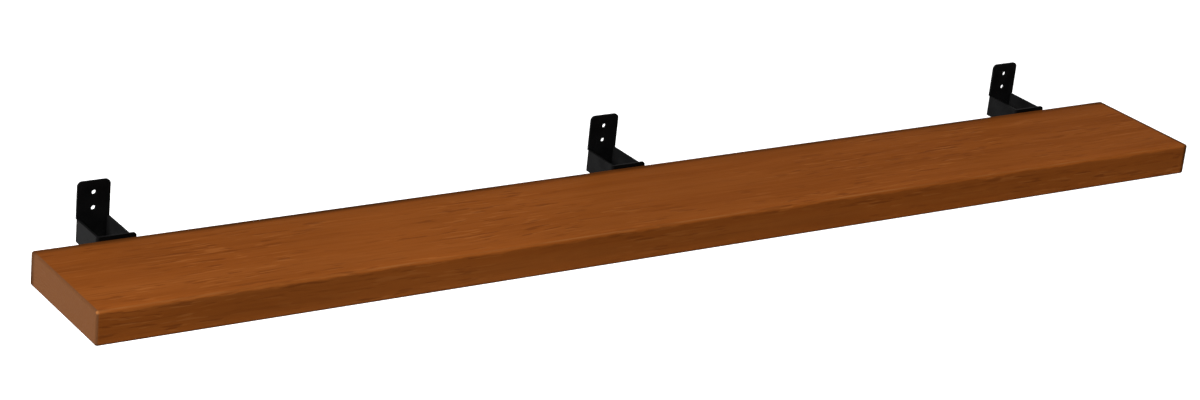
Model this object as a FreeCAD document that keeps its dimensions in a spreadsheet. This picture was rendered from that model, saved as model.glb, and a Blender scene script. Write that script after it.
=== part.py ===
"""Floating wall shelf: one thick wooden board on three folded steel stand-off brackets.

Every size is a named value, in millimetres, in the spreadsheet "Sizes".

Frame: +X runs along the board to the right, +Y points into the wall and +Z is up.
The wall is the plane Y = 0. The origin is the middle of the centre bracket's two wall
holes, on that plane.
"""

import FreeCAD, Part  # noqa: E401  (FreeCAD has to load before Part)
import os

import Sketcher

Vector = FreeCAD.Vector

# --------------------------------------------------------------------------------------
# Driving dimensions: (name, size in millimetres)
# --------------------------------------------------------------------------------------
DRIVING_SIZES = [
    # Board
    ("board_length", 1829),
    ("board_depth", 203),
    ("board_thickness", 48),
    ("board_edge_radius", 4),
    # Where the brackets stand, measured in from the board's two ends
    ("left_inset", 115),
    ("right_inset", 155),
    # Folded bracket
    ("sheet", 3),
    ("bend_radius", 1),
    ("bracket_width", 47),
    ("standoff", 68),
    ("plate_height", 83.5),
    ("plate_corner_radius", 7),
    ("arm_height", 31.5),
    ("arm_rise", 4.5),
    ("front_lap", 9),
    ("lap_corner_radius", 4),
    # Wall screw holes
    ("wall_hole_diameter", 6.35),
    ("wall_hole_spacing", 22),
    ("wall_hole_margin", 16.5),
    # Support rods and the bores that they slide into
    ("rod_diameter", 14),
    ("rod_length", 135),
    ("rod_lift", 10),
    ("rod_lead_in", 1.5),
    ("rod_clearance", 0.25),
    ("bore_end_space", 4),
    # Bolts that hold the rods on the brackets
    ("bolt_diameter", 8),
    ("bolt_engagement", 16),
    ("bolt_head_diameter", 13),
    ("bolt_head_height", 8),
    ("bolt_head_bevel", 0.8),
    ("bolt_socket_width", 6),
    ("bolt_socket_depth", 4),
    ("bolt_thread_clearance", 0.1),
    ("bolt_hole_clearance", 0.4),
    ("bolt_hole_spare", 4),
    ("washer_diameter", 15),
    ("washer_thickness", 1.6),
    ("washer_clearance", 0.2),
    # Locking screws under the board
    ("lock_distance", 42),
    ("lock_insert_diameter", 9),
    ("lock_insert_length", 13),
    ("lock_insert_recess", 0.5),
    ("lock_insert_clearance", 0.1),
    ("lock_screw_diameter", 6),
    ("lock_screw_recess", 2),
    ("lock_screw_clearance", 0.1),
    ("lock_socket_width", 3),
    ("lock_socket_depth", 3),
]

# Places worked out from the driving sizes, as spreadsheet expressions
PLATE_TOP = "(Sizes.wall_hole_spacing / 2 + Sizes.wall_hole_margin)"
BRACKET_BOTTOM = f"({PLATE_TOP} - Sizes.plate_height)"
ARM_TOP = f"({BRACKET_BOTTOM} + Sizes.arm_height)"
BOARD_TOP = f"({ARM_TOP} - Sizes.arm_rise)"
BOARD_BOTTOM = f"({BOARD_TOP} - Sizes.board_thickness)"
BOARD_BACK = "(-Sizes.standoff)"
BOARD_FRONT = "(-Sizes.standoff - Sizes.board_depth)"
HALF_WIDTH = "(Sizes.bracket_width / 2)"
ROD_AXIS = f"({BRACKET_BOTTOM} + Sizes.rod_lift)"
ROD_UNDERSIDE = f"({ROD_AXIS} - Sizes.rod_diameter / 2)"
BORE_DIAMETER = "(Sizes.rod_diameter + 2 * Sizes.rod_clearance)"
BORE_DEPTH = "(Sizes.rod_length + Sizes.bore_end_space)"
INSERT_HOLE_DIAMETER = "(Sizes.lock_insert_diameter + 2 * Sizes.lock_insert_clearance)"
LOCK_PLACE_Y = f"({BOARD_BACK} - Sizes.lock_distance)"
BOLT_HOLE_DIAMETER = "(Sizes.bolt_diameter + 2 * Sizes.bolt_hole_clearance)"
WASHER_BORE_DIAMETER = "(Sizes.bolt_diameter + 2 * Sizes.washer_clearance)"
TAPPED_RADIUS = "(Sizes.bolt_diameter / 2 + Sizes.bolt_thread_clearance)"

BRACKET_PLACES = {
    "left": "(-Sizes.board_length / 2 + Sizes.left_inset)",
    "centre": "0",
    "right": "(Sizes.board_length / 2 - Sizes.right_inset)",
}

doc = FreeCAD.newDocument("floating_wall_shelf")


# --------------------------------------------------------------------------------------
# Helpers
# --------------------------------------------------------------------------------------
def make_size_sheet():
    """Write the driving sizes into the spreadsheet, one named cell each."""
    sheet = doc.addObject("Spreadsheet::Sheet", "Sizes")
    for row, (name, size) in enumerate(DRIVING_SIZES, start=1):
        sheet.set(f"A{row}", name.replace("_", " "))
        sheet.set(f"B{row}", str(size))
        sheet.setAlias(f"B{row}", name)
    doc.recompute()
    return sheet


def size_of(expression):
    """Return the number that a spreadsheet expression stands for."""
    return float(doc.Sizes.evalExpression(expression))


def make_body(label, x="0", y="0", z="0"):
    """Start a sub-part whose own origin stands at the given place."""
    body = doc.addObject("PartDesign::Body", label)
    body.Label = label
    for axis, place in zip("xyz", (x, y, z)):
        body.setExpression(f"Placement.Base.{axis}", place)
    return body


def origin_feature(body, role):
    """Find a plane or an axis of the body's own origin."""
    return next(item for item in body.Origin.OriginFeatures if item.Role == role)


def add_sketch(body, name, plane, height="0"):
    """Attach a sketch to one of the body's planes, raised by height along its normal."""
    sketch = body.newObject("Sketcher::SketchObject", name)
    sketch.AttachmentSupport = [(origin_feature(body, plane), "")]
    sketch.MapMode = "FlatFace"
    sketch.setExpression("AttachmentOffset.Base.z", height)
    return sketch


def pin_point(sketch, geometry, point, x, y):
    """Hold one point of a sketch at expressions x and y."""
    for kind, place in (("DistanceX", x), ("DistanceY", y)):
        constraint = Sketcher.Constraint(kind, -1, 1, geometry, point, size_of(place))
        number = sketch.addConstraint(constraint)
        sketch.setExpression(f"Constraints[{number}]", place)


def draw_outline(sketch, corners):
    """Draw a closed outline through corners, each a pair of expressions."""
    points = [Vector(size_of(x), size_of(y), 0) for x, y in corners]
    count = len(points)
    for number, start in enumerate(points):
        end = points[(number + 1) % count]
        sketch.addGeometry(Part.LineSegment(start, end), False)
    for number in range(count):
        following = (number + 1) % count
        sketch.addConstraint(Sketcher.Constraint("Coincident", number, 2, following, 1))
    for number, (x, y) in enumerate(corners):
        pin_point(sketch, number, 1, x, y)


def draw_circle(sketch, x, y, diameter):
    """Draw a circle whose centre and diameter are expressions."""
    centre = Vector(size_of(x), size_of(y), 0)
    circle = Part.Circle(centre, Vector(0, 0, 1), size_of(diameter) / 2)
    number = sketch.addGeometry(circle, False)
    pin_point(sketch, number, 3, x, y)
    constraint = Sketcher.Constraint("Diameter", number, size_of(diameter))
    held = sketch.addConstraint(constraint)
    sketch.setExpression(f"Constraints[{held}]", diameter)


def draw_hexagon(sketch, width):
    """Draw a hexagon round the sketch's origin, width across its flats."""
    corners = []
    for turn in range(6):
        angle = 60 * turn + 30
        x = f"{width} / 2 / cos(30 deg) * cos({angle} deg)"
        y = f"{width} / 2 / cos(30 deg) * sin({angle} deg)"
        corners.append((x, y))
    draw_outline(sketch, corners)


def add_pad(body, name, sketch, length, midplane=False):
    """Pad a sketch along its normal."""
    pad = body.newObject("PartDesign::Pad", name)
    pad.Profile = sketch
    pad.Midplane = midplane
    pad.setExpression("Length", length)
    doc.recompute()
    return pad


def add_pocket(body, name, sketch, length, along_normal):
    """Cut a sketch into the body, and make sure that it took material away."""
    doc.recompute()
    volume_before = body.Shape.Volume
    pocket = body.newObject("PartDesign::Pocket", name)
    pocket.Profile = sketch
    pocket.Reversed = along_normal
    pocket.setExpression("Length", length)
    doc.recompute()
    if body.Shape.Volume >= volume_before:
        raise ValueError(f"{body.Label}: {name} cuts nothing")
    return pocket


def add_revolution(body, name, sketch):
    """Turn a sketch a full circle about its own vertical axis."""
    revolution = body.newObject("PartDesign::Revolution", name)
    revolution.Profile = sketch
    revolution.ReferenceAxis = (sketch, ["V_Axis"])
    revolution.Angle = 360
    doc.recompute()
    return revolution


def edges_where(feature, test):
    """Name the straight or round edges of a feature that pass a test."""
    named = enumerate(feature.Shape.Edges, start=1)
    return [f"Edge{number}" for number, edge in named if test(edge)]


def add_fillet(body, name, feature, edge_names, radius):
    """Round the named edges of a feature."""
    fillet = body.newObject("PartDesign::Fillet", name)
    fillet.Base = (feature, edge_names)
    fillet.setExpression("Radius", radius)
    doc.recompute()
    return fillet


def near(first, second):
    """Say whether two lengths are the same."""
    return abs(first - second) < 1e-4


def edge_runs_along(edge, axis):
    """Say whether an edge is straight and runs along the unit vector axis."""
    if edge.Curve.TypeId != "Part::GeomLine":
        return False
    direction = edge.Vertexes[-1].Point - edge.Vertexes[0].Point
    return near(abs(direction.dot(axis)), edge.Length)


# --------------------------------------------------------------------------------------
# Board
# --------------------------------------------------------------------------------------
def make_shelf_board():
    """Make the board with its rounded edges, rod bores and locking holes."""
    body = make_body("shelf_board")
    section = add_sketch(body, "section", "YZ_Plane")
    corners = [
        (BOARD_FRONT, BOARD_BOTTOM),
        (BOARD_BACK, BOARD_BOTTOM),
        (BOARD_BACK, BOARD_TOP),
        (BOARD_FRONT, BOARD_TOP),
    ]
    draw_outline(section, corners)
    plank = add_pad(body, "plank", section, "Sizes.board_length", midplane=True)
    every_edge = edges_where(plank, lambda edge: True)
    add_fillet(body, "eased_edges", plank, every_edge, "Sizes.board_edge_radius")

    rod_bores = add_sketch(body, "rod_bore_circles", "XZ_Plane", "Sizes.standoff")
    lock_holes = add_sketch(body, "lock_hole_circles", "XY_Plane", BOARD_BOTTOM)
    for place in BRACKET_PLACES.values():
        draw_circle(rod_bores, place, ROD_AXIS, BORE_DIAMETER)
        draw_circle(lock_holes, place, LOCK_PLACE_Y, INSERT_HOLE_DIAMETER)
    add_pocket(body, "rod_bores", rod_bores, BORE_DEPTH, along_normal=True)
    lock_hole_depth = f"{ROD_AXIS} - {BOARD_BOTTOM}"
    add_pocket(body, "lock_holes", lock_holes, lock_hole_depth, along_normal=True)
    return body


# --------------------------------------------------------------------------------------
# Folded bracket
# --------------------------------------------------------------------------------------
def strip_outline():
    """Return the plan of the folded strip, with its bends still sharp.

    The strip starts at the front end of the right arm, runs back to the wall, along the
    wall, forward as the left arm and then to the right across the front, past the
    right arm. The right arm ends on the back of that front run.
    """
    wall = "0"
    inner_wall = "-Sizes.sheet"
    front = BOARD_BACK
    inner_front = f"{BOARD_BACK} + Sizes.sheet"
    left = f"-{HALF_WIDTH}"
    inner_left = f"-{HALF_WIDTH} + Sizes.sheet"
    inner_right = f"{HALF_WIDTH} - Sizes.sheet"
    right = HALF_WIDTH
    lap_end = f"{HALF_WIDTH} + Sizes.front_lap"
    outer = [(left, wall), (right, wall), (right, inner_front), (lap_end, inner_front),
             (lap_end, front), (left, front)]
    inner = [(inner_left, inner_wall), (inner_right, inner_wall),
             (inner_right, inner_front), (inner_left, inner_front)]
    return outer, inner


def make_wall_bracket(side, place):
    """Make one bracket: a wall plate, two arms and the front run, folded from sheet."""
    body = make_body(f"{side}_wall_bracket", x=place)
    plan = add_sketch(body, "strip_plan", "XY_Plane", BRACKET_BOTTOM)
    outer, inner = strip_outline()
    draw_outline(plan, outer)
    strip = add_pad(body, "folded_strip", plan, "Sizes.arm_height")

    hollow_plan = add_sketch(body, "hollow_plan", "XY_Plane", ARM_TOP)
    draw_outline(hollow_plan, inner)
    hollow = add_pocket(body, "hollow", hollow_plan, "Sizes.arm_height", along_normal=False)

    bends = bend_corners()
    inside = edges_where(hollow, lambda edge: is_bend(edge, bends["inside"]))
    rounded = add_fillet(body, "inside_bends", hollow, inside, "Sizes.bend_radius")
    outside = edges_where(rounded, lambda edge: is_bend(edge, bends["outside"]))
    rounded = add_fillet(
        body, "outside_bends", rounded, outside, "Sizes.bend_radius + Sizes.sheet"
    )
    lap_x = size_of(f"{HALF_WIDTH} + Sizes.front_lap")
    lap_corners = edges_where(rounded, lambda edge: is_cross_edge_at(edge, lap_x))
    add_fillet(body, "lap_corners", rounded, lap_corners, "Sizes.lap_corner_radius")

    plate_face = add_sketch(body, "plate_face", "XZ_Plane")
    corners = [
        (f"-{HALF_WIDTH}", ARM_TOP),
        (HALF_WIDTH, ARM_TOP),
        (HALF_WIDTH, PLATE_TOP),
        (f"-{HALF_WIDTH}", PLATE_TOP),
    ]
    draw_outline(plate_face, corners)
    plate = add_pad(body, "wall_plate", plate_face, "Sizes.sheet")
    plate_top = size_of(PLATE_TOP)
    top_corners = edges_where(plate, lambda edge: is_top_corner(edge, plate_top))
    add_fillet(body, "plate_corners", plate, top_corners, "Sizes.plate_corner_radius")

    wall_holes = add_sketch(body, "wall_hole_circles", "XZ_Plane")
    for height in ("Sizes.wall_hole_spacing / 2", "-Sizes.wall_hole_spacing / 2"):
        draw_circle(wall_holes, "0", height, "Sizes.wall_hole_diameter")
    add_pocket(body, "wall_holes", wall_holes, "Sizes.sheet", along_normal=True)

    bolt_hole = add_sketch(body, "bolt_hole_circle", "XZ_Plane", "Sizes.standoff")
    draw_circle(bolt_hole, "0", ROD_AXIS, BOLT_HOLE_DIAMETER)
    add_pocket(body, "bolt_hole", bolt_hole, "Sizes.sheet", along_normal=False)
    return body


def bend_corners():
    """Return where the strip's bends stand in plan, inside and outside."""
    half = size_of(HALF_WIDTH)
    sheet = size_of("Sizes.sheet")
    front = size_of(BOARD_BACK)
    return {
        "outside": [(-half, 0), (half, 0), (-half, front)],
        "inside": [(sheet - half, -sheet), (half - sheet, -sheet), (sheet - half, front + sheet)],
    }


def is_bend(edge, places):
    """Say whether an upright edge stands at one of the given plan places."""
    if not edge_runs_along(edge, Vector(0, 0, 1)):
        return False
    point = edge.Vertexes[0].Point
    return any(near(point.x, x) and near(point.y, y) for x, y in places)


def is_cross_edge_at(edge, x):
    """Say whether an edge runs along Y at the given X."""
    return edge_runs_along(edge, Vector(0, 1, 0)) and near(edge.Vertexes[0].X, x)


def is_top_corner(edge, height):
    """Say whether an edge runs along Y at the given height."""
    return edge_runs_along(edge, Vector(0, 1, 0)) and near(edge.Vertexes[0].Z, height)


# --------------------------------------------------------------------------------------
# Support rods and their fixings
# --------------------------------------------------------------------------------------
def make_support_rod(side, place):
    """Turn one rod: a lead-in at its free end and a tapped hole at its bracket end."""
    body = make_body(f"{side}_support_rod", x=place, y=BOARD_BACK, z=ROD_AXIS)
    half_section = add_sketch(body, "half_section", "XY_Plane")
    radius = "Sizes.rod_diameter / 2"
    tapped_end = "-Sizes.bolt_engagement - Sizes.bolt_hole_spare"
    corners = [
        (TAPPED_RADIUS, "0"),
        (radius, "0"),
        (radius, "Sizes.rod_lead_in - Sizes.rod_length"),
        (f"{radius} - Sizes.rod_lead_in", "-Sizes.rod_length"),
        ("0", "-Sizes.rod_length"),
        ("0", tapped_end),
        (TAPPED_RADIUS, tapped_end),
    ]
    draw_outline(half_section, corners)
    add_revolution(body, "turned_rod", half_section)
    return body


def make_rod_bolt(side, place):
    """Make the socket head bolt that holds one bracket's rod."""
    seat = f"({BOARD_BACK} + Sizes.sheet + Sizes.washer_thickness)"
    body = make_body(f"{side}_rod_bolt", x=place, y=seat, z=ROD_AXIS)
    half_section = add_sketch(body, "half_section", "XY_Plane")
    shank = "Sizes.bolt_diameter / 2"
    head = "Sizes.bolt_head_diameter / 2"
    tip = "-Sizes.washer_thickness - Sizes.sheet - Sizes.bolt_engagement"
    corners = [
        ("0", "Sizes.bolt_head_height"),
        ("0", tip),
        (shank, tip),
        (shank, "0"),
        (head, "0"),
        (head, "Sizes.bolt_head_height - Sizes.bolt_head_bevel"),
        (f"{head} - Sizes.bolt_head_bevel", "Sizes.bolt_head_height"),
    ]
    draw_outline(half_section, corners)
    add_revolution(body, "turned_blank", half_section)

    hexagon = add_sketch(body, "socket_hexagon", "XZ_Plane", "-Sizes.bolt_head_height")
    draw_hexagon(hexagon, "Sizes.bolt_socket_width")
    add_pocket(body, "socket", hexagon, "Sizes.bolt_socket_depth", along_normal=True)
    return body


def make_rod_washer(side, place):
    """Make the washer under one bracket's bolt head."""
    back_of_front_run = f"({BOARD_BACK} + Sizes.sheet)"
    body = make_body(f"{side}_rod_washer", x=place, y=back_of_front_run, z=ROD_AXIS)
    ring = add_sketch(body, "ring", "XZ_Plane", "-Sizes.washer_thickness")
    draw_circle(ring, "0", "0", "Sizes.washer_diameter")
    draw_circle(ring, "0", "0", WASHER_BORE_DIAMETER)
    add_pad(body, "disc", ring, "Sizes.washer_thickness")
    return body


def make_lock_insert(side, place):
    """Make the threaded insert in the board's underside, below one rod."""
    bottom = f"({BOARD_BOTTOM} + Sizes.lock_insert_recess)"
    body = make_body(f"{side}_lock_insert", x=place, y=LOCK_PLACE_Y, z=bottom)
    ring = add_sketch(body, "ring", "XY_Plane")
    draw_circle(ring, "0", "0", "Sizes.lock_insert_diameter")
    draw_circle(ring, "0", "0", "Sizes.lock_screw_diameter + 2 * Sizes.lock_screw_clearance")
    add_pad(body, "sleeve", ring, "Sizes.lock_insert_length")
    return body


def make_lock_screw(side, place):
    """Make the grub screw that bears on one rod and keeps the board from sliding off."""
    bottom = f"({BOARD_BOTTOM} + Sizes.lock_screw_recess)"
    body = make_body(f"{side}_lock_screw", x=place, y=LOCK_PLACE_Y, z=bottom)
    shank = add_sketch(body, "shank_circle", "XY_Plane")
    draw_circle(shank, "0", "0", "Sizes.lock_screw_diameter")
    add_pad(body, "shank", shank, f"{ROD_UNDERSIDE} - {bottom}")
    hexagon = add_sketch(body, "socket_hexagon", "XY_Plane")
    draw_hexagon(hexagon, "Sizes.lock_socket_width")
    add_pocket(body, "socket", hexagon, "Sizes.lock_socket_depth", along_normal=True)
    return body


# --------------------------------------------------------------------------------------
# Assembly, tests and files
# --------------------------------------------------------------------------------------
def make_all():
    """Make every sub-part and return them."""
    parts = [make_shelf_board()]
    for side, place in BRACKET_PLACES.items():
        parts.append(make_wall_bracket(side, place))
        parts.append(make_support_rod(side, place))
        parts.append(make_rod_bolt(side, place))
        parts.append(make_rod_washer(side, place))
        parts.append(make_lock_insert(side, place))
        parts.append(make_lock_screw(side, place))
    return parts


def check_document(parts):
    """Stop if any object failed or any sub-part has no valid shape."""
    doc.recompute()
    for item in doc.Objects:
        if "Invalid" in item.State or "Error" in item.State:
            raise ValueError(f"{item.Label} failed: {item.State}")
    for part in parts:
        if part.Shape.isNull() or not part.Shape.isValid():
            raise ValueError(f"{part.Label} has no valid shape")


def export_parts(parts):
    """Write each sub-part to a STEP file of its own."""
    os.makedirs("parts", exist_ok=True)
    for part in parts:
        part.Shape.exportStep(f"parts/{part.Label}.step")
        print(f"{part.Label}: {len(part.Shape.Solids)} solid(s), {part.Shape.Volume:.0f} mm3")


make_size_sheet()
shelf_parts = make_all()
check_document(shelf_parts)
export_parts(shelf_parts)
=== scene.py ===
"""Floating wall shelf: finishes, weld beads, lamps and camera.

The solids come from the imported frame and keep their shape. This script dresses them:
oiled wood on the board, black powder coat on the brackets, zinc on the rods, bolts,
washers and locking screws, and brass on the inserts. It adds the weld bead that closes
each folded bracket.

Everything is in metres. +X runs along the board, +Y points into the wall, +Z is up.
What lies on the board is given by its distance from the board's own sides.
"""

from __future__ import annotations

import logging
import math
from dataclasses import dataclass, field
from enum import Enum
from typing import Any

import bpy
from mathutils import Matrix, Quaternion, Vector

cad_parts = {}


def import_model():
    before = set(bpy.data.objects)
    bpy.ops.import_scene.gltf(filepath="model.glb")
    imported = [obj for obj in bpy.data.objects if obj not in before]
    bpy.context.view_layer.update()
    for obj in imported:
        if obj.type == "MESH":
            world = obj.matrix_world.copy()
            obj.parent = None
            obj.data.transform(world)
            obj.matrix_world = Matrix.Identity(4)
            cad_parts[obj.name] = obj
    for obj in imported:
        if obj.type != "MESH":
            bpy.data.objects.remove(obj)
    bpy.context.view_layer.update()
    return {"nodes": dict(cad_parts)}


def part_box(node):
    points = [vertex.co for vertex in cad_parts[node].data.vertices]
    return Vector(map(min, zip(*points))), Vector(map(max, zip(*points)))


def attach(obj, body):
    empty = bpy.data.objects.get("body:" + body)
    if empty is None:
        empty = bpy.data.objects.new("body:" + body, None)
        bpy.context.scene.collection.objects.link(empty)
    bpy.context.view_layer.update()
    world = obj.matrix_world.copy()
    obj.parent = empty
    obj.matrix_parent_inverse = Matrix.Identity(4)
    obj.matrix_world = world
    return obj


LOG = logging.getLogger("floating_wall_shelf")

Colour = tuple[float, float, float]
Point = tuple[float, float, float]
Socket = bpy.types.NodeSocket
Number = Socket | float
Tint = Socket | Colour
Solids = dict[str, bpy.types.Object]

WHITE = (1.0, 1.0, 1.0, 1.0)


class Side(Enum):
    """The places of the three brackets along the board."""

    LEFT = "left"
    CENTRE = "centre"
    RIGHT = "right"


class Blend(Enum):
    """How a colour is laid over another in a material."""

    MIX = "MIX"
    MULTIPLY = "MULTIPLY"


def from_screen(red: int, green: int, blue: int) -> Colour:
    """Turn a screen colour into the linear colour that shaders use.

    Args:
        red: Red, from 0 to 255.
        green: Green, from 0 to 255.
        blue: Blue, from 0 to 255.

    Returns:
        The same colour in linear light, from 0 to 1.
    """

    def linear(level: int) -> float:
        """Undo the screen's curve, which is sRGB's, for one channel."""
        value = level / 255
        return value / 12.92 if value <= 0.04045 else ((value + 0.055) / 1.055) ** 2.4

    return linear(red), linear(green), linear(blue)


def even(number: float) -> Point:
    """Return the same number for all three axes."""
    return number, number, number


@dataclass(frozen=True)
class Ramp:
    """A straight change of one value while another goes through a range.

    Attributes:
        start: Where the range starts.
        end: Where the range ends, which may be below its start.
        first: The result at the start and before it.
        last: The result at the end and past it.
    """

    start: float
    end: float
    first: float = 0.0
    last: float = 1.0


@dataclass(frozen=True)
class Lumps:
    """A smooth random pattern.

    Attributes:
        scale: How many lumps there are in a metre, along each axis.
        detail: How many finer layers are added.
        rough: How strong the finer layers are.
    """

    scale: Point
    detail: float = 2.0
    rough: float = 0.5


class Shader:
    """A node material under construction, with short names for common nodes.

    Attributes:
        material: The material.
        tree: The material's nodes.
        surface: The principled surface that the nodes feed.
    """

    def __init__(self, name: str) -> None:
        """Start an empty material with a principled surface.

        Args:
            name: The material's name.
        """
        self.material = bpy.data.materials.new(name)
        self.material.use_nodes = True
        self.tree = self.material.node_tree
        self.tree.nodes.clear()
        output = self.tree.nodes.new("ShaderNodeOutputMaterial")
        self.surface = self.tree.nodes.new("ShaderNodeBsdfPrincipled")
        self.tree.links.new(self.surface.outputs["BSDF"], output.inputs["Surface"])

    def node(self, kind: str, **settings: Any) -> bpy.types.Node:
        """Add a node.

        Args:
            kind: Blender's name of the node type.
            **settings: Attributes to set on the node.

        Returns:
            The new node.
        """
        made = self.tree.nodes.new(kind)
        for name, value in settings.items():
            setattr(made, name, value)
        return made

    def feed(self, target: Socket, value: Number | Tint) -> None:
        """Give a socket its value, either by a link or as a number or colour.

        Args:
            target: The input socket.
            value: A socket to link, a number, or a colour of three numbers.
        """
        if isinstance(value, Socket):
            self.tree.links.new(value, target)
        elif isinstance(value, tuple) and target.type == "RGBA":
            target.default_value = (*value, 1.0)
        else:
            target.default_value = value

    def finish_with(self, **inputs: Number | Tint) -> None:
        """Feed the surface's sockets, named with _ for each space."""
        for name, value in inputs.items():
            self.feed(self.surface.inputs[name.replace("_", " ")], value)

    def place(self) -> Socket:
        """Return the point on the object, in metres, in its own frame."""
        return self.node("ShaderNodeTexCoord").outputs["Object"]

    def facing(self) -> Socket:
        """Return the direction in which the surface faces."""
        return self.node("ShaderNodeNewGeometry").outputs["Normal"]

    def parts_of(self, vector: Socket) -> tuple[Socket, Socket, Socket]:
        """Split a vector into its three numbers.

        Args:
            vector: The vector.

        Returns:
            Its part along each axis.
        """
        split = self.node("ShaderNodeSeparateXYZ")
        self.feed(split.inputs[0], vector)
        return split.outputs[0], split.outputs[1], split.outputs[2]

    def vector(self, x: Number, y: Number, z: Number) -> Socket:
        """Join three numbers into a vector or a colour.

        Args:
            x: The first number.
            y: The second number.
            z: The third number.

        Returns:
            The vector.
        """
        joined = self.node("ShaderNodeCombineXYZ")
        for socket, value in zip(joined.inputs, (x, y, z)):
            self.feed(socket, value)
        return joined.outputs[0]

    def vector_maths(
        self, operation: str, vector: Socket, other: Point
    ) -> bpy.types.Node:
        """Work out something from a vector and a fixed one.

        Args:
            operation: Blender's name of the operation.
            vector: The vector.
            other: The fixed vector.

        Returns:
            The node that holds the result.
        """
        made = self.node("ShaderNodeVectorMath", operation=operation)
        self.feed(made.inputs[0], vector)
        made.inputs[1].default_value = other
        return made

    def maths(self, operation: str, first: Number, second: Number = 0.0) -> Socket:
        """Work out one number from one or two others.

        Args:
            operation: Blender's name of the operation.
            first: The first number.
            second: The second number, for the operations that need one.

        Returns:
            The result.
        """
        made = self.node("ShaderNodeMath", operation=operation)
        self.feed(made.inputs[0], first)
        self.feed(made.inputs[1], second)
        return made.outputs[0]

    def times(self, first: Number, second: Number) -> Socket:
        """Multiply two numbers."""
        return self.maths("MULTIPLY", first, second)

    def greatest(self, first: Socket, *others: Socket) -> Socket:
        """Return the greatest of some numbers.

        Args:
            first: One of the numbers.
            *others: The rest of them.

        Returns:
            The greatest.
        """
        found = first
        for other in others:
            found = self.maths("MAXIMUM", found, other)
        return found

    def noise(self, place: Socket, lumps: Lumps, step: Point | None = None) -> Socket:
        """Return smooth random values from 0 to 1 over space.

        Args:
            place: Where the value is read.
            lumps: The pattern.
            step: How far the pattern is moved, in lumps.

        Returns:
            The value.
        """
        counted = self.vector_maths("MULTIPLY", place, lumps.scale).outputs[0]
        if step is not None:
            counted = self.vector_maths("ADD", counted, step).outputs[0]
        made = self.node("ShaderNodeTexNoise")
        self.feed(made.inputs["Vector"], counted)
        made.inputs["Scale"].default_value = 1.0
        made.inputs["Detail"].default_value = lumps.detail
        made.inputs["Roughness"].default_value = lumps.rough
        return made.outputs["Fac"]

    def spread(self, value: Socket, ramp: Ramp) -> Socket:
        """Read a ramp at a value.

        Args:
            value: The value.
            ramp: The ramp.

        Returns:
            The ramp's result, which never leaves its two ends.
        """
        made = self.node("ShaderNodeMapRange", clamp=True)
        self.feed(made.inputs["Value"], value)
        made.inputs["From Min"].default_value = ramp.start
        made.inputs["From Max"].default_value = ramp.end
        made.inputs["To Min"].default_value = ramp.first
        made.inputs["To Max"].default_value = ramp.last
        return made.outputs["Result"]

    def blend(self, how: Blend, share: Number, under: Tint, over: Tint) -> Socket:
        """Lay one colour over another.

        Args:
            how: The way of mixing.
            share: How much of the upper colour shows, from 0 to 1.
            under: The lower colour.
            over: The upper colour.

        Returns:
            The mixed colour.
        """
        mixed = self.node("ShaderNodeMix", data_type="RGBA", blend_type=how.value)
        self.feed(mixed.inputs["Factor"], share)
        colours = [socket for socket in mixed.inputs if socket.type == "RGBA"]
        self.feed(colours[0], under)
        self.feed(colours[1], over)
        return next(socket for socket in mixed.outputs if socket.type == "RGBA")

    def mix(self, share: Number, under: Tint, over: Tint) -> Socket:
        """Let a share of one colour cover another."""
        return self.blend(Blend.MIX, share, under, over)

    def toned(self, colour: Tint, tone: Socket) -> Socket:
        """Multiply a colour by one number."""
        grey = self.vector(tone, tone, tone)
        return self.blend(Blend.MULTIPLY, 1.0, colour, grey)

    def bump(self, height: Socket, depth: float, under: Socket | None = None) -> Socket:
        """Turn a height into a bumpy normal.

        Args:
            height: The height, from 0 to 1.
            depth: How far the surface rises, in metres.
            under: A normal to add the bumps to.

        Returns:
            The normal.
        """
        made = self.node("ShaderNodeBump")
        made.inputs["Strength"].default_value = 1.0
        made.inputs["Distance"].default_value = depth
        self.feed(made.inputs["Height"], height)
        if under is not None:
            self.feed(made.inputs["Normal"], under)
        return made.outputs["Normal"]


@dataclass(frozen=True)
class Spot:
    """The spot on the board that is coloured.

    Attributes:
        place: Where it is.
        x: Its place along the board.
        y: Its place across the board.
        z: Its height.
        facing_x: How much its surface faces along the board, from -1 to 1.
        facing_y: How much it faces the wall.
        facing_z: How much it faces up.
        behind_front: How far it is behind the board's front.
        before_back: How far it is before the board's back.
        before_right: How far it is from the board's right end.
        above_foot: How far it is above the board's foot.
        below_top: How far it is below the board's top.
        from_corner: How far it is from the front left top corner.
    """

    place: Socket
    x: Socket
    y: Socket
    z: Socket
    facing_x: Socket
    facing_y: Socket
    facing_z: Socket
    behind_front: Socket
    before_back: Socket
    before_right: Socket
    above_foot: Socket
    below_top: Socket
    from_corner: Socket

    @classmethod
    def of(cls, shader: Shader, low: Vector, high: Vector) -> Spot:
        """Read the spot in a material.

        Args:
            shader: The material.
            low: The board's lowest corner.
            high: The board's highest corner.

        Returns:
            The spot.
        """
        place = shader.place()
        x, y, z = shader.parts_of(place)
        facing_x, facing_y, facing_z = shader.parts_of(shader.facing())
        corner = shader.vector_maths("DISTANCE", place, (low.x, low.y, high.z))
        return cls(
            place=place,
            x=x,
            y=y,
            z=z,
            facing_x=facing_x,
            facing_y=facing_y,
            facing_z=facing_z,
            behind_front=shader.maths("SUBTRACT", y, low.y),
            before_back=shader.maths("SUBTRACT", high.y, y),
            before_right=shader.maths("SUBTRACT", high.x, x),
            above_foot=shader.maths("SUBTRACT", z, low.z),
            below_top=shader.maths("SUBTRACT", high.z, z),
            from_corner=corner.outputs["Value"],
        )


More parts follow.
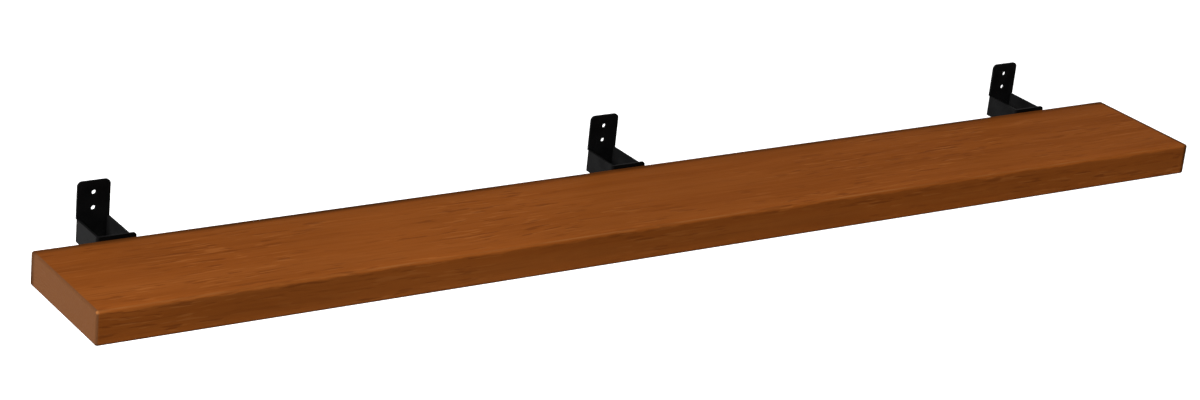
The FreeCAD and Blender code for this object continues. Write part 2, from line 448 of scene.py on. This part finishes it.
@dataclass(frozen=True)
class WoodColours:
    """The colours of the oiled wood.

    Attributes:
        heart: The long faces.
        pale: The lighter bands and the lips of the dashes.
        dark: The darker bands, the fibres and the dashes.
        end: The two sawn ends, which drink more oil.
        lit_edge: The painted highlight on the front top edge and its front left corner.
        shaded_edge: The painted shade on the other edges and in the strips along the
            back and the right end.
    """

    heart: Colour = from_screen(136, 72, 25)
    pale: Colour = from_screen(157, 92, 42)
    dark: Colour = from_screen(98, 47, 15)
    end: Colour = from_screen(100, 65, 40)
    lit_edge: Colour = from_screen(168, 106, 56)
    shaded_edge: Colour = from_screen(50, 28, 10)


@dataclass(frozen=True)
class LongGrain:
    """The grain of the long faces: bands, fibres, and dashes with a pale lip.

    Attributes:
        drift: The slow pattern that bends the grain.
        waver: How far the drift bends it, in metres.
        bands: The broad bands.
        pale_bands: How pale the light bands are.
        dark_bands: How dark the dark bands are.
        fibres: The fine lines.
        dark_fibres: How dark they are.
        dashes: The short open pores.
        dash_share: How strong a dash and its lip are.
        dash_lip: How far the lips' pattern is moved from the dashes' own, in lumps.
        clusters: The patches in which the dashes gather.
        in_cluster: How much of a dash is left, from outside a patch to inside it.
        clouds: The large soft patches of tone.
        cloud_tone: How much they darken and lighten the wood.
    """

    drift: Lumps = Lumps((1.6, 5.0, 5.0))
    waver: Ramp = Ramp(0.3, 0.7, -0.006, 0.006)
    bands: Lumps = Lumps((0.9, 30.0, 30.0), 3.0, 0.55)
    pale_bands: Ramp = Ramp(0.45, 0.7, 0.0, 0.24)
    dark_bands: Ramp = Ramp(0.5, 0.3, 0.0, 0.22)
    fibres: Lumps = Lumps((7.0, 300.0, 300.0), 3.0, 0.6)
    dark_fibres: Ramp = Ramp(0.5, 0.72, 0.0, 0.22)
    dashes: Lumps = Lumps((22.0, 200.0, 270.0), 1.0)
    dash_share: Ramp = Ramp(0.6, 0.66, 0.0, 0.5)
    dash_lip: Point = (0.0, 0.5, 0.5)
    clusters: Lumps = Lumps((4.0, 16.0, 16.0))
    in_cluster: Ramp = Ramp(0.42, 0.6, 0.15, 1.0)
    clouds: Lumps = Lumps((3.0, 9.0, 9.0), 3.0)
    cloud_tone: Ramp = Ramp(0.3, 0.7, 0.93, 1.07)

    def draw(
        self, shader: Shader, spot: Spot, colours: WoodColours
    ) -> tuple[Socket, Socket, Socket]:
        """Draw the grain.

        Args:
            shader: The material that gets it.
            spot: The spot on the board.
            colours: The wood's colours.

        Returns:
            The colour, the height of the fibres and the share of the dashes.
        """
        waver = shader.spread(shader.noise(spot.place, self.drift), self.waver)
        y, z = (shader.maths("ADD", number, waver) for number in (spot.y, spot.z))
        along = shader.vector(spot.x, y, z)

        bands = shader.noise(along, self.bands)
        colour = shader.mix(
            shader.spread(bands, self.pale_bands), colours.heart, colours.pale
        )
        colour = shader.mix(shader.spread(bands, self.dark_bands), colour, colours.dark)
        fibres = shader.noise(along, self.fibres)
        colour = shader.mix(
            shader.spread(fibres, self.dark_fibres), colour, colours.dark
        )

        in_cluster = shader.spread(
            shader.noise(spot.place, self.clusters), self.in_cluster
        )
        lips = shader.spread(
            shader.noise(along, self.dashes, self.dash_lip), self.dash_share
        )
        colour = shader.mix(shader.times(lips, in_cluster), colour, colours.pale)
        dashes = shader.spread(shader.noise(along, self.dashes), self.dash_share)
        dashes = shader.times(dashes, in_cluster)
        colour = shader.mix(dashes, colour, colours.dark)

        clouds = shader.noise(spot.place, self.clouds)
        tone = shader.spread(clouds, self.cloud_tone)
        return shader.toned(colour, tone), fibres, dashes


@dataclass(frozen=True)
class PaintedShading:
    """Painted light and shade over the board, and a painted lit lip along its front.

    Attributes:
        front_tone: The painted shade, by the distance behind the board's front.
        back_tone: The painted shade, by the distance before its back.
        crest_front: The front side of the painted highlight just behind the front.
        crest_back: The back side of the painted highlight.
        foot_tone: The painted light, lighter at the foot, by the height above the foot.
        head_tone: The painted light just below the top, by the distance below it.
        lip_wobble: The pattern that makes the painted lit lip wander along the board.
        lip_depth: How far below the top the painted lit lip reaches.
        lip_foot: How light the painted lit lip is, from below its foot to above it.
        lip_head: Where the lip ends, just below the top.
    """

    front_tone: Ramp = Ramp(0.001, 0.161, 1.02, 0.97)
    back_tone: Ramp = Ramp(0.042, 0.012, 1.0, 0.86)
    crest_front: Ramp = Ramp(0.0015, 0.004, 0.0, 0.09)
    crest_back: Ramp = Ramp(0.005, 0.019, 1.0, 0.0)
    foot_tone: Ramp = Ramp(0.002, 0.017, 1.14, 0.97)
    head_tone: Ramp = Ramp(0.009, 0.0005, 1.0, 1.03)
    lip_wobble: Lumps = Lumps(even(11.0), 3.0, 0.6)
    lip_depth: Ramp = Ramp(0.38, 0.62, 0.0015, 0.0065)
    lip_foot: Ramp = Ramp(-0.0006, 0.0006, 0.0, 0.3)
    lip_head: Ramp = Ramp(0.0015, 0.0006, 1.0, 0.0)

    def across(self, shader: Shader, spot: Spot, colour: Socket) -> Socket:
        """Paint shade that darkens the board from its front to its back, and a
        highlight just behind the front.

        Args:
            shader: The material that gets it.
            spot: The spot on the board.
            colour: The colour so far.

        Returns:
            The changed colour.
        """
        # Painted shade: darker from the front to the back.
        tone = shader.times(
            shader.spread(spot.behind_front, self.front_tone),
            shader.spread(spot.before_back, self.back_tone),
        )
        # Painted highlight in a band just behind the front.
        crest = shader.times(
            shader.spread(spot.behind_front, self.crest_front),
            shader.spread(spot.behind_front, self.crest_back),
        )
        return shader.toned(colour, shader.times(tone, shader.maths("ADD", 1.0, crest)))

    def down(self, shader: Shader, spot: Spot, colour: Socket) -> Socket:
        """Paint light and shade down the front, lighter at its foot, and paint a lit
        lip just below its top.

        Args:
            shader: The material that gets it.
            spot: The spot on the board.
            colour: The colour so far.

        Returns:
            The changed colour.
        """
        # Painted lit lip: the lit top's lightness carried down onto the front's upper
        # strip.
        lip_wobble = shader.noise(shader.vector(spot.x, 0.0, 0.0), self.lip_wobble)
        lip_depth = shader.spread(lip_wobble, self.lip_depth)
        above_lip_foot = shader.maths("SUBTRACT", lip_depth, spot.below_top)
        lip = shader.times(
            shader.spread(above_lip_foot, self.lip_foot),
            shader.spread(spot.below_top, self.lip_head),
        )
        head = shader.maths("ADD", shader.spread(spot.below_top, self.head_tone), lip)
        # Painted light: lighter towards the foot of the front.
        foot = shader.spread(spot.above_foot, self.foot_tone)
        return shader.toned(colour, shader.times(foot, head))


@dataclass(frozen=True)
class EdgeLightAndShade:
    """Painted shade on the board's edges and along its back and right end, and painted
    highlights on its front top edge.

    Attributes:
        rounded: Where the surface is part of a rounded edge.
        backward: Where an edge faces the wall.
        rightward: Where an edge faces right.
        leftward: Where an edge faces left, which gets only a little painted shade.
        downward: Where an edge faces down.
        edge_shade_strength: How strong the painted shade on an edge is.
        back_strip: The strip of painted shade, by the distance before the board's back.
        right_strip: The strip of painted shade, by the distance from the board's right
            end.
        beside_end: Keeps that strip off the sawn end itself.
        light_breakup: The pattern that breaks up the painted shade and the painted
            highlight.
        strip_breakup: How much of a strip's painted shade the pattern leaves.
        forward: Where the front top edge turns forward.
        upward: Where it still faces up.
        edge_highlight_breakup: How much painted highlight the pattern leaves on the
            front top edge.
        corner_highlight: How strong the painted highlight on the front left top corner
            is, by the distance from it.
    """

    rounded: Ramp = Ramp(0.998, 0.97)
    backward: Ramp = Ramp(0.02, 0.2)
    rightward: Ramp = Ramp(0.02, 0.3)
    leftward: Ramp = Ramp(-0.02, -0.3, 0.0, 0.12)
    downward: Ramp = Ramp(-0.02, -0.35)
    edge_shade_strength: float = 0.75
    back_strip: Ramp = Ramp(0.015, 0.007)
    right_strip: Ramp = Ramp(0.0095, 0.0055)
    beside_end: Ramp = Ramp(0.97, 0.8)
    light_breakup: Lumps = Lumps((7.0, 60.0, 60.0), 3.0, 0.6)
    strip_breakup: Ramp = Ramp(0.3, 0.6, 0.4, 0.85)
    forward: Ramp = Ramp(-0.12, -0.3)
    upward: Ramp = Ramp(0.6, 0.8)
    edge_highlight_breakup: Ramp = Ramp(0.42, 0.62, 0.05, 0.6)
    corner_highlight: Ramp = Ramp(0.0034, 0.0052, 0.8, 0.0)

    def draw(
        self, shader: Shader, spot: Spot, colour: Socket, colours: WoodColours
    ) -> Socket:
        """Paint shade on the edges, and then a highlight on the front top edge.

        Args:
            shader: The material that gets it.
            spot: The spot on the board.
            colour: The colour so far.
            colours: The wood's colours.

        Returns:
            The changed colour.
        """
        light_breakup = shader.noise(spot.place, self.light_breakup)
        # Painted shade on the rounded edges and in the strips along the back and right
        # end.
        shade_share = shader.greatest(
            self.shade_on_edges(shader, spot), self.shade_in_strips(shader, spot, light_breakup)
        )
        colour = shader.mix(shade_share, colour, colours.shaded_edge)
        # Painted highlight on the front top edge and on its front left corner.
        edge = shader.times(
            shader.spread(spot.facing_y, self.forward),
            shader.spread(spot.facing_z, self.upward),
        )
        edge_lit_share = shader.times(edge, shader.spread(light_breakup, self.edge_highlight_breakup))
        corner_highlight = shader.spread(spot.from_corner, self.corner_highlight)
        return shader.mix(shader.greatest(edge_lit_share, corner_highlight), colour, colours.lit_edge)

    def shade_on_edges(self, shader: Shader, spot: Spot) -> Socket:
        """Find how much painted shade lies on the rounded edges.

        Args:
            shader: The material that gets it.
            spot: The spot on the board.

        Returns:
            The share of painted shade, from 0 to 1.
        """
        sizes = [
            shader.maths("ABSOLUTE", number)
            for number in (spot.facing_x, spot.facing_y, spot.facing_z)
        ]
        rounded = shader.spread(shader.greatest(*sizes), self.rounded)
        turned = shader.greatest(
            shader.spread(spot.facing_x, self.leftward),
            shader.spread(spot.facing_y, self.backward),
            shader.spread(spot.facing_x, self.rightward),
            shader.spread(spot.facing_z, self.downward),
        )
        return shader.times(shader.times(turned, rounded), self.edge_shade_strength)

    def shade_in_strips(self, shader: Shader, spot: Spot, light_breakup: Socket) -> Socket:
        """Find how much painted shade lies in the strips along the back and the right
        end.

        Args:
            shader: The material that gets it.
            spot: The spot on the board.
            light_breakup: The pattern that breaks up the painted shade.

        Returns:
            The share of painted shade, from 0 to 1.
        """
        back = shader.spread(spot.before_back, self.back_strip)
        right = shader.times(
            shader.spread(spot.before_right, self.right_strip),
            shader.spread(spot.facing_x, self.beside_end),
        )
        strips = shader.greatest(back, right)
        return shader.times(strips, shader.spread(light_breakup, self.strip_breakup))


@dataclass(frozen=True)
class SawnEnd:
    """A sawn end of the board, with growth rings and open pores.

    Attributes:
        facing: Where the surface belongs to an end, by how much it faces along the
            board.
        pith_behind_front: How far the tree's middle is behind the board's front.
        pith_below_foot: How far it is below the board's foot.
        wobble: The pattern that bends the rings.
        wobble_reach: How far it bends them, in metres.
        ring_width: The width of a ring, in metres.
        ring_wave: The height of the rings, from the trough of a wave to its crest.
        ring_share: How dark the rings are.
        pores: The pattern of the pores.
        pore_share: How dark the pores are.
    """

    facing: Ramp = Ramp(0.05, 0.5)
    pith_behind_front: float = 0.161
    pith_below_foot: float = 0.133
    wobble: Lumps = Lumps(even(14.0))
    wobble_reach: float = 0.006
    ring_width: float = 0.0042
    ring_wave: Ramp = Ramp(-1.0, 1.0)
    ring_share: float = 0.16
    pores: Lumps = Lumps(even(900.0), 1.0)
    pore_share: Ramp = Ramp(0.6, 0.75, 0.0, 0.35)

    def share(self, shader: Shader, spot: Spot) -> Socket:
        """Return 1 on the ends and 0 on the long faces."""
        return shader.spread(shader.maths("ABSOLUTE", spot.facing_x), self.facing)

    def draw(
        self, shader: Shader, spot: Spot, colours: WoodColours
    ) -> tuple[Socket, Socket]:
        """Draw the end.

        Args:
            shader: The material that gets it.
            spot: The spot on the board.
            colours: The wood's colours.

        Returns:
            The end's colour and the height of its rings.
        """
        section = shader.vector(0.0, spot.y, spot.z)
        across = shader.maths("SUBTRACT", spot.behind_front, self.pith_behind_front)
        upward = shader.maths("ADD", spot.above_foot, self.pith_below_foot)
        square = shader.maths(
            "ADD", shader.times(across, across), shader.times(upward, upward)
        )
        wobble = shader.times(shader.noise(section, self.wobble), self.wobble_reach)
        radius = shader.maths("ADD", shader.maths("SQRT", square), wobble)
        turns = shader.times(radius, 2 * math.pi / self.ring_width)
        rings = shader.spread(shader.maths("SINE", turns), self.ring_wave)
        colour = shader.mix(
            shader.times(rings, self.ring_share), colours.end, colours.dark
        )
        pores = shader.spread(shader.noise(section, self.pores), self.pore_share)
        return shader.mix(pores, colour, colours.dark), rings


@dataclass(frozen=True)
class OiledWood:
    """The board's finish: red-brown wood with fine straight grain and a satin oil, with
    painted light and shade.

    Attributes:
        colours: The wood's colours.
        grain: The grain of the long faces.
        painted_shading: The painted light and shade over the board.
        edge_light_and_shade: The painted shade on the edges and the painted highlight
            on the front top edge.
        end: The two sawn ends.
        dullness: How dull the oil is, from between the fibres to on them.
        gloss: The strength of the oil's own reflection.
        dash_depth: How deep a dash is, against the height of the fibres.
        fibre_height: The height of the fibres, in metres.
        ring_height: The height of the rings, in metres.
    """

    colours: WoodColours = WoodColours()
    grain: LongGrain = LongGrain()
    painted_shading: PaintedShading = PaintedShading()
    edge_light_and_shade: EdgeLightAndShade = EdgeLightAndShade()
    end: SawnEnd = SawnEnd()
    dullness: Ramp = Ramp(0.3, 0.7, 0.44, 0.58)
    gloss: float = 0.003
    dash_depth: float = 0.8
    fibre_height: float = 0.00012
    ring_height: float = 0.0001

    def material(self, low: Vector, high: Vector) -> bpy.types.Material:
        """Build the wood from its grain, its painted light and shade, its ends and the
        painted light and shade of its edges.

        Args:
            low: The board's lowest corner.
            high: The board's highest corner.

        Returns:
            The material.
        """
        shader = Shader("oiled_wood")
        spot = Spot.of(shader, low, high)
        colour, fibres, dashes = self.grain.draw(shader, spot, self.colours)
        # Painted light and shade over the board.
        colour = self.painted_shading.across(shader, spot, colour)
        colour = self.painted_shading.down(shader, spot, colour)
        end_colour, rings = self.end.draw(shader, spot, self.colours)
        on_end = self.end.share(shader, spot)
        colour = shader.mix(on_end, colour, end_colour)
        # Painted shade on the edges and a painted highlight on the front top edge.
        colour = self.edge_light_and_shade.draw(shader, spot, colour, self.colours)

        relief = shader.maths("SUBTRACT", fibres, shader.times(dashes, self.dash_depth))
        normal = shader.bump(relief, self.fibre_height)
        normal = shader.bump(shader.times(rings, on_end), self.ring_height, normal)
        shader.finish_with(
            Base_Color=colour,
            Roughness=shader.spread(fibres, self.dullness),
            Specular_IOR_Level=self.gloss,
            Normal=normal,
        )
        return shader.material


@dataclass(frozen=True)
class PowderCoat:
    """The brackets' finish: black powder coat with a fine orange-peel surface.

    Attributes:
        colour: The coat's colour.
        peel: The lumps of the orange peel.
        peel_height: Their height, in metres.
        patches: The dustier patches.
        patch_tone: How much a patch darkens and lightens the coat.
        dullness: How dull the coat is, from clean to dusty.
        gloss: The strength of the coat's own reflection.
    """

    colour: Colour = (0.0062, 0.0062, 0.0064)
    peel: Lumps = Lumps(even(1 / 0.0006))
    peel_height: float = 0.00003
    patches: Lumps = Lumps(even(38.0), 3.0)
    patch_tone: Ramp = Ramp(0.35, 0.7, 0.8, 1.35)
    dullness: Ramp = Ramp(0.3, 0.7, 0.27, 0.42)
    gloss: float = 0.006

    def material(self) -> bpy.types.Material:
        """Build the coat, a little dustier in patches and bumpy all over.

        Returns:
            The material.
        """
        shader = Shader("black_powder_coat")
        place = shader.place()
        patches = shader.noise(place, self.patches)
        tone = shader.spread(patches, self.patch_tone)
        shader.finish_with(
            Base_Color=shader.toned(self.colour, tone),
            Roughness=shader.spread(patches, self.dullness),
            Specular_IOR_Level=self.gloss,
            Normal=shader.bump(shader.noise(place, self.peel), self.peel_height),
        )
        return shader.material


@dataclass(frozen=True)
class PlatedMetal:
    """The finish of a turned metal piece: plating with fine tool marks.

    Attributes:
        name: The material's name.
        colour: The plating's colour.
        shade: The colour in its dull patches.
        dullness: How dull the plating is, from clean to dull.
        patches: The dull patches.
        patch_share: How much of the dull colour they show.
        marks: The tool marks round the piece.
        mark_height: Their height, in metres.
    """

    name: str
    colour: Colour
    shade: Colour
    dullness: Ramp
    patches: Lumps = Lumps(even(120.0), 3.0)
    patch_share: Ramp = Ramp(0.4, 0.7, 0.0, 0.8)
    marks: Lumps = Lumps((500.0, 2500.0, 500.0), 1.0)
    mark_height: float = 0.00002

    def material(self) -> bpy.types.Material:
        """Build the plating with dull patches and turned marks.

        Returns:
            The material.
        """
        shader = Shader(self.name)
        place = shader.place()
        patches = shader.noise(place, self.patches)
        share = shader.spread(patches, self.patch_share)
        shader.finish_with(
            Base_Color=shader.mix(share, self.colour, self.shade),
            Metallic=1.0,
            Roughness=shader.spread(patches, self.dullness),
            Normal=shader.bump(shader.noise(place, self.marks), self.mark_height),
        )
        return shader.material


ZINC = PlatedMetal(
    name="zinc_plate",
    colour=from_screen(196, 198, 201),
    shade=from_screen(150, 152, 156),
    dullness=Ramp(0.3, 0.7, 0.26, 0.48),
)
BRASS = PlatedMetal(
    name="brass",
    colour=from_screen(205, 168, 92),
    shade=from_screen(158, 120, 58),
    dullness=Ramp(0.3, 0.7, 0.22, 0.44),
)


@dataclass
class ShelfBoard:
    """The wooden board.

    Attributes:
        node: The board's solid.
        finish: The wood.
    """

    node: str = "shelf_board"
    finish: OiledWood = OiledWood()

    def dress(self, solids: Solids) -> None:
        """Give the board its wood.

        Args:
            solids: The solids of the frame, by name.
        """
        low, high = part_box(self.node)
        give_finish(solids[self.node], self.finish.material(low, high))
        LOG.info("dressed %s", self.node)


@dataclass
class WeldBead:
    """The bead that joins a bracket's right arm to its front run.

    Attributes:
        leg: How far the bead reaches along each of the two faces, in metres.
        ripple: The length of one ripple, in metres.
        ripple_share: How much a ripple thins the bead, as a share of the leg.
        end_gap: How far the bead stops short of the bracket's edges, in metres.
        end_share: How thick the bead is at its two ends, as a share of the leg.
        end_slope: How quickly it thickens from there.
        rings: How many sections there are in one ripple.
        spokes: How many steps the bead's curved face has.
    """

    leg: float = 0.0026
    ripple: float = 0.0018
    ripple_share: float = 0.16
    end_gap: float = 0.0015
    end_share: float = 0.25
    end_slope: float = 4.0
    rings: int = 4
    spokes: int = 6

    def reach(self, share: float, length: float) -> float:
        """Find how thick the bead is at a height.

        Args:
            share: The height, as a share of the bead's length.
            length: The bead's length, in metres.

        Returns:
            How far it reaches along the two faces, in metres.
        """
        swell = abs(math.sin(math.pi * share * length / self.ripple))
        taper = min(1.0, self.end_slope * math.sin(math.pi * share) + self.end_share)
        return self.leg * taper * (1 - self.ripple_share * (1 - swell))

    def section(self, corner: Vector, height: float, reach: float) -> list[Point]:
        """Draw one section: the corner, and a quarter circle in front of it.

        Args:
            corner: The corner.
            height: The section's height.
            reach: How far it reaches along the two faces, in metres.

        Returns:
            The section's points, in order.
        """
        points = [(corner.x, corner.y, height)]
        for spoke in range(self.spokes + 1):
            angle = math.pi / 2 * spoke / self.spokes
            out = Vector((math.cos(angle), math.sin(angle))) * reach
            points.append((corner.x + out.x, corner.y + out.y, height))
        return points

    def mesh(self, corner: Vector, height: float, name: str) -> bpy.types.Mesh:
        """Build the bead upwards from a corner between two upright faces.

        Args:
            corner: The lower end of the corner. One face runs from it along +X and
                the other along +Y.
            height: The height of the corner.
            name: The mesh's name.

        Returns:
            The closed mesh.
        """
        length = height - 2 * self.end_gap
        count = round(length / self.ripple) * self.rings
        points: list[Point] = []
        for step in range(count + 1):
            share = step / count
            up = corner.z + self.end_gap + share * length
            points += self.section(corner, up, self.reach(share, length))

        # A section has its corner and the spokes + 1 points of its curved face.
        ring = self.spokes + 2
        faces: list[tuple[int, ...]] = [tuple(reversed(range(ring)))]
        for low in range(0, count * ring, ring):
            high = low + ring
            for spoke in range(ring):
                after = (spoke + 1) % ring
                faces.append((low + spoke, low + after, high + after, high + spoke))
        faces.append(tuple(range(count * ring, (count + 1) * ring)))

        mesh = bpy.data.meshes.new(name)
        mesh.from_pydata(points, [], faces)
        mesh.shade_smooth()
        return mesh


@dataclass
class WallBracket:
    """One folded bracket with its rod, bolt, washer, insert and locking screw.

    Attributes:
        side: Which of the three brackets this is.
        coat: The finish of the folded sheet and its weld.
        zinc: The finish of the rod, the bolt, the washer and the locking screw.
        brass: The finish of the insert.
        front_lap: How far the front run reaches past the right arm, in metres.
        sheet: The thickness of the folded sheet, in metres.
        arm_height: The height of the arms, in metres.
        weld: The weld bead.
    """

    side: Side
    coat: bpy.types.Material
    zinc: bpy.types.Material
    brass: bpy.types.Material
    front_lap: float = 0.009
    sheet: float = 0.003
    arm_height: float = 0.0315
    weld: WeldBead = field(default_factory=WeldBead)

    def name(self, piece: str) -> str:
        """Return the name of one of this bracket's pieces."""
        return f"{self.side.value}_{piece}"

    def dress(self, solids: Solids) -> None:
        """Give every solid of the bracket its finish.

        Args:
            solids: The solids of the frame, by name.
        """
        finishes = {
            "wall_bracket": self.coat,
            "support_rod": self.zinc,
            "rod_bolt": self.zinc,
            "rod_washer": self.zinc,
            "lock_insert": self.brass,
            "lock_screw": self.zinc,
        }
        for piece, finish in finishes.items():
            give_finish(solids[self.name(piece)], finish)
            LOG.info("dressed %s", self.name(piece))

    def add_weld(self) -> None:
        """Lay the weld bead behind the front run, outside the right arm."""
        low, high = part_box(self.name("wall_bracket"))
        corner = Vector((high.x - self.front_lap, low.y + self.sheet, low.z))
        name = self.name("arm_weld_bead")
        mesh = self.weld.mesh(corner, self.arm_height, name)
        bead = bpy.data.objects.new(name, mesh)
        bpy.context.scene.collection.objects.link(bead)
        give_finish(bead, self.coat)
        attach(bead, "root")
        LOG.info("added %s", name)


@dataclass(frozen=True)
class Lamp:
    """A soft rectangular lamp that faces the shelf.

    Attributes:
        name: The lamp's name.
        place: Where its middle is.
        watts: Its power.
        size: Its width and height, in metres.
    """

    name: str
    place: Point
    watts: float
    size: tuple[float, float]

    def hang(self, aim: Vector) -> None:
        """Make the lamp and turn it to a point.

        Args:
            aim: The point that it faces.
        """
        light = bpy.data.lights.new(self.name, "AREA")
        light.shape = "RECTANGLE"
        light.size, light.size_y = self.size
        light.energy = self.watts
        lamp = bpy.data.objects.new(self.name, light)
        lamp.location = self.place
        lamp.rotation_mode = "QUATERNION"
        lamp.rotation_quaternion = (aim - lamp.location).to_track_quat("-Z", "Y")
        lamp.visible_camera = False
        bpy.context.scene.collection.objects.link(lamp)
        LOG.info("hung %s", self.name)


@dataclass
class Studio:
    """The pale room that the shelf is lit in.

    Attributes:
        floor_height: How high the floor is, in metres.
        floor_size: The floor's width and length, in metres.
        floor_mottling: The faint patches of the floor.
        floor_tone: The tones of the patches.
        floor_dullness: How dull the floor is.
        glow: How much the floor is lifted towards white where it is looked at.
        fill: The strength of the light that comes from all round.
        aim: The point that the lamps face.
        lamps: The lamps.
    """

    floor_height: float = -1.15
    floor_size: float = 60.0
    floor_mottling: Lumps = Lumps(even(2.5), 3.0)
    floor_tone: Ramp = Ramp(0.3, 0.7, 0.79, 0.82)
    floor_dullness: float = 0.9
    glow: float = 0.78
    fill: float = 0.2
    aim: Point = (0.0, -0.16, -0.03)
    lamps: tuple[Lamp, ...] = (
        Lamp("top_lamp", place=(1.4, -0.8, 2.2), watts=1.5, size=(3.2, 1.4)),
        Lamp("left_lamp", place=(-9.0, -0.8, 5.2), watts=1320.0, size=(4.0, 3.0)),
        Lamp("front_lamp", place=(1.2, -3.2, 0.5), watts=1.0, size=(2.4, 1.4)),
        Lamp("right_lamp", place=(6.0, -0.9, 1.2), watts=90.0, size=(2.4, 2.0)),
        Lamp("rear_lamp", place=(-1.6, 3.8, 0.9), watts=60.0, size=(2.6, 1.4)),
    )

    def build(self) -> None:
        """Build the floor, the surroundings and the lamps."""
        self.add_floor()
        self.light_surroundings()
        for lamp in self.lamps:
            lamp.hang(Vector(self.aim))
        LOG.info("built the studio")

    def add_floor(self) -> None:
        """Lay a pale floor that reads as white and still takes the shelf's shadow."""
        half, up = self.floor_size / 2, self.floor_height
        outline = [(-half, -half), (half, -half), (half, half), (-half, half)]
        corners = [(x, y, up) for x, y in outline]
        mesh = bpy.data.meshes.new("studio_floor")
        mesh.from_pydata(corners, [], [(0, 1, 2, 3)])
        floor = bpy.data.objects.new("studio_floor", mesh)
        bpy.context.scene.collection.objects.link(floor)
        give_finish(floor, self.floor_finish())

    def floor_finish(self) -> bpy.types.Material:
        """Build the floor's material.

        Returns:
            The material.
        """
        shader = Shader("pale_floor")
        mottling = shader.noise(shader.place(), self.floor_mottling)
        tone = shader.spread(mottling, self.floor_tone)
        shader.surface.inputs["Emission Color"].default_value = WHITE
        shader.finish_with(
            Base_Color=shader.vector(tone, tone, tone),
            Roughness=self.floor_dullness,
            Emission_Strength=shader.times(self.seen_directly(shader.tree), self.glow),
        )
        return shader.material

    def light_surroundings(self) -> None:
        """Make the surroundings white to look at and softer as a light."""
        world = bpy.data.worlds.new("studio_surroundings")
        bpy.context.scene.world = world
        world.use_nodes = True
        tree = world.node_tree
        background = tree.nodes["Background"]
        background.inputs["Color"].default_value = WHITE
        strength = tree.nodes.new("ShaderNodeMapRange")
        strength.inputs["To Min"].default_value = self.fill
        strength.inputs["To Max"].default_value = 1.0
        tree.links.new(self.seen_directly(tree), strength.inputs["Value"])
        tree.links.new(strength.outputs["Result"], background.inputs["Strength"])

    @staticmethod
    def seen_directly(tree: bpy.types.NodeTree) -> Socket:
        """Tell what is looked at from what only gives light.

        Args:
            tree: The nodes of the floor or of the surroundings.

        Returns:
            A socket that is 1 where the camera, a reflection or clear matter sees the
            surface, and 0 for the light that it gives.
        """
        path = tree.nodes.new("ShaderNodeLightPath")
        seen = path.outputs["Is Camera Ray"]
        for kind in ("Is Glossy Ray", "Is Transmission Ray"):
            either = tree.nodes.new("ShaderNodeMath")
            either.operation = "MAXIMUM"
            tree.links.new(seen, either.inputs[0])
            tree.links.new(path.outputs[kind], either.inputs[1])
            seen = either.outputs[0]
        return seen


@dataclass
class Viewpoint:
    """The main camera: in front of the shelf, left of it and above it.

    Attributes:
        azimuth: The turn round the shelf, in degrees. Below 0 is to the left.
        elevation: The height above the horizon, in degrees.
        roll: How far the camera is tilted to one side, in degrees.
        distance: How far the camera is from its aim, in metres.
        aim: The point that it looks at.
        lens: The focal length, in millimetres.
        sensor: The width of the sensor, in millimetres.
    """

    azimuth: float = -35.29
    elevation: float = 21.43
    roll: float = 6.2
    distance: float = 4.287
    aim: Point = (-0.0737, -0.1166, -0.0515)
    lens: float = 90.96
    sensor: float = 36.0

    def place_camera(self) -> None:
        """Make the camera and put it in place."""
        turn, lift = math.radians(self.azimuth), math.radians(self.elevation)
        ahead, up = math.cos(lift), math.sin(lift)
        back = Vector((math.sin(turn) * ahead, -math.cos(turn) * ahead, up))
        data = bpy.data.cameras.new("main_camera")
        data.sensor_width = self.sensor
        data.lens = self.lens
        camera = bpy.data.objects.new("main_camera", data)
        camera.location = Vector(self.aim) + back * self.distance
        camera.rotation_mode = "QUATERNION"
        level = (-back).to_track_quat("-Z", "Y")
        tilt = Quaternion((0.0, 0.0, 1.0), math.radians(self.roll))
        camera.rotation_quaternion = level @ tilt
        bpy.context.scene.collection.objects.link(camera)
        bpy.context.scene.camera = camera
        LOG.info("placed the camera")


def give_finish(piece: bpy.types.Object, finish: bpy.types.Material) -> None:
    """Put one material on the whole of a piece.

    Args:
        piece: The object.
        finish: Its material.
    """
    if not piece.material_slots:
        piece.data.materials.append(finish)
    for slot in piece.material_slots:
        slot.material = finish


def main() -> None:
    """Build the dressed shelf, its studio and its camera."""
    logging.basicConfig(level=logging.INFO, format="%(name)s: %(message)s")
    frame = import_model()
    bpy.context.scene.view_settings.view_transform = "Standard"

    ShelfBoard().dress(frame["nodes"])
    coat = PowderCoat().material()
    zinc = ZINC.material()
    brass = BRASS.material()
    for side in Side:
        bracket = WallBracket(side, coat, zinc, brass)
        bracket.dress(frame["nodes"])
        bracket.add_weld()

    Studio().build()
    Viewpoint().place_camera()


if __name__ == "__main__":
    main()
